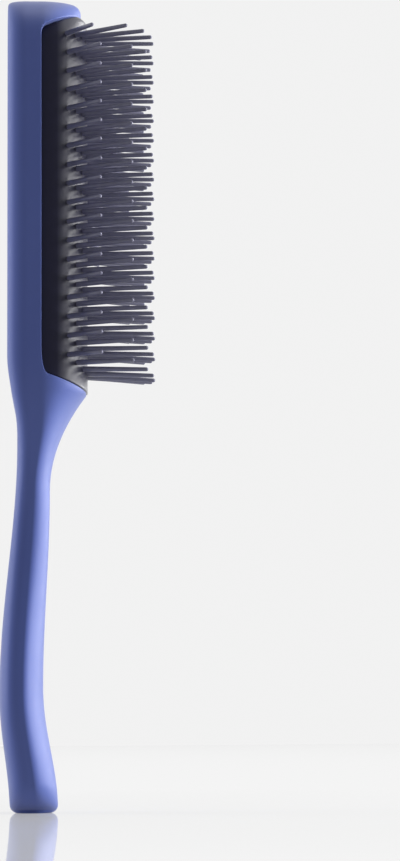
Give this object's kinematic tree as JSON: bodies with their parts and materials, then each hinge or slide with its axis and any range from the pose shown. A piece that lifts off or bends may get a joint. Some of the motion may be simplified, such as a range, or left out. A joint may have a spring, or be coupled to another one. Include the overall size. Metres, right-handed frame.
{
  "type": "hair styling brush",
  "caption": "One-piece moulded handle and head with a lift-out arched rubber pad and springy rows of round-ended pins, for smoothing and styling hair.",
  "frame": {"origin": "middle of the flat end of the handle, on which the brush stands", "axes": "+Z along the brush from the end of the handle to the tip of the head, +X out of the back towards the pins, Y across the brush"},
  "size_m": [0.042, 0.0468, 0.22],
  "materials": {
    "soft_touch_plastic": "soft-touch matte coat over a moulded body",
    "pad_rubber": "smooth moulded rubber with a low sheen",
    "pin_nylon": "satin moulded nylon with polished round ends"
  },
  "bodies": {
    "handle": {"handle_body": "soft_touch_plastic"},
    "pad": {"cushion_pad": "pad_rubber"},
    "row_01": {"pin_row_01": "pin_nylon"},
    "row_02": {"pin_row_02": "pin_nylon"},
    "row_03": {"pin_row_03": "pin_nylon"},
    "row_04": {"pin_row_04": "pin_nylon"},
    "row_05": {"pin_row_05": "pin_nylon"},
    "row_06": {"pin_row_06": "pin_nylon"},
    "row_07": {"pin_row_07": "pin_nylon"},
    "row_08": {"pin_row_08": "pin_nylon"},
    "row_09": {"pin_row_09": "pin_nylon"},
    "row_10": {"pin_row_10": "pin_nylon"},
    "row_11": {"pin_row_11": "pin_nylon"},
    "row_12": {"pin_row_12": "pin_nylon"},
    "row_13": {"pin_row_13": "pin_nylon"},
    "row_14": {"pin_row_14": "pin_nylon"},
    "row_15": {"pin_row_15": "pin_nylon"},
    "row_16": {"pin_row_16": "pin_nylon"},
    "row_17": {"pin_row_17": "pin_nylon"},
    "row_18": {"pin_row_18": "pin_nylon"}
  },
  "joints": [
    {"name": "pad_lift", "type": "slide", "parent": "handle", "child": "pad", "axis": [1, 0, 0], "range_m": [0, 0.03]},
    {"name": "row_01_lean", "type": "hinge", "parent": "pad", "child": "row_01", "pos_m": [0.011, 0, 0.1172], "axis": [0, 1, 0], "range_deg": [-4, 4], "stiffness_Nm_per_rad": 0.15},
    {"name": "row_02_lean", "type": "hinge", "parent": "pad", "child": "row_02", "pos_m": [0.011, 0, 0.12262], "axis": [0, 1, 0], "range_deg": [-4, 4], "stiffness_Nm_per_rad": 0.15},
    {"name": "row_03_lean", "type": "hinge", "parent": "pad", "child": "row_03", "pos_m": [0.011, 0, 0.12805], "axis": [0, 1, 0], "range_deg": [-4, 4], "stiffness_Nm_per_rad": 0.15},
    {"name": "row_04_lean", "type": "hinge", "parent": "pad", "child": "row_04", "pos_m": [0.011, 0, 0.13347], "axis": [0, 1, 0], "range_deg": [-4, 4], "stiffness_Nm_per_rad": 0.15},
    {"name": "row_05_lean", "type": "hinge", "parent": "pad", "child": "row_05", "pos_m": [0.011, 0, 0.13889], "axis": [0, 1, 0], "range_deg": [-4, 4], "stiffness_Nm_per_rad": 0.15},
    {"name": "row_06_lean", "type": "hinge", "parent": "pad", "child": "row_06", "pos_m": [0.011, 0, 0.14432], "axis": [0, 1, 0], "range_deg": [-4, 4], "stiffness_Nm_per_rad": 0.15},
    {"name": "row_07_lean", "type": "hinge", "parent": "pad", "child": "row_07", "pos_m": [0.011, 0, 0.14974], "axis": [0, 1, 0], "range_deg": [-4, 4], "stiffness_Nm_per_rad": 0.15},
    {"name": "row_08_lean", "type": "hinge", "parent": "pad", "child": "row_08", "pos_m": [0.011, 0, 0.15516], "axis": [0, 1, 0], "range_deg": [-4, 4], "stiffness_Nm_per_rad": 0.15},
    {"name": "row_09_lean", "type": "hinge", "parent": "pad", "child": "row_09", "pos_m": [0.011, 0, 0.16059], "axis": [0, 1, 0], "range_deg": [-4, 4], "stiffness_Nm_per_rad": 0.15},
    {"name": "row_10_lean", "type": "hinge", "parent": "pad", "child": "row_10", "pos_m": [0.011, 0, 0.16601], "axis": [0, 1, 0], "range_deg": [-4, 4], "stiffness_Nm_per_rad": 0.15},
    {"name": "row_11_lean", "type": "hinge", "parent": "pad", "child": "row_11", "pos_m": [0.011, 0, 0.17144], "axis": [0, 1, 0], "range_deg": [-4, 4], "stiffness_Nm_per_rad": 0.15},
    {"name": "row_12_lean", "type": "hinge", "parent": "pad", "child": "row_12", "pos_m": [0.011, 0, 0.17686], "axis": [0, 1, 0], "range_deg": [-4, 4], "stiffness_Nm_per_rad": 0.15},
    {"name": "row_13_lean", "type": "hinge", "parent": "pad", "child": "row_13", "pos_m": [0.011, 0, 0.18228], "axis": [0, 1, 0], "range_deg": [-4, 4], "stiffness_Nm_per_rad": 0.15},
    {"name": "row_14_lean", "type": "hinge", "parent": "pad", "child": "row_14", "pos_m": [0.011, 0, 0.18771], "axis": [0, 1, 0], "range_deg": [-4, 4], "stiffness_Nm_per_rad": 0.15},
    {"name": "row_15_lean", "type": "hinge", "parent": "pad", "child": "row_15", "pos_m": [0.011, 0, 0.19313], "axis": [0, 1, 0], "range_deg": [-4, 4], "stiffness_Nm_per_rad": 0.15},
    {"name": "row_16_lean", "type": "hinge", "parent": "pad", "child": "row_16", "pos_m": [0.011, 0, 0.19855], "axis": [0, 1, 0], "range_deg": [-4, 4], "stiffness_Nm_per_rad": 0.15},
    {"name": "row_17_lean", "type": "hinge", "parent": "pad", "child": "row_17", "pos_m": [0.011, 0, 0.20398], "axis": [0, 1, 0], "range_deg": [-4, 4], "stiffness_Nm_per_rad": 0.15},
    {"name": "row_18_lean", "type": "hinge", "parent": "pad", "child": "row_18", "pos_m": [0.011, 0, 0.2094], "axis": [0, 1, 0], "range_deg": [-4, 4], "stiffness_Nm_per_rad": 0.15}
  ]
}
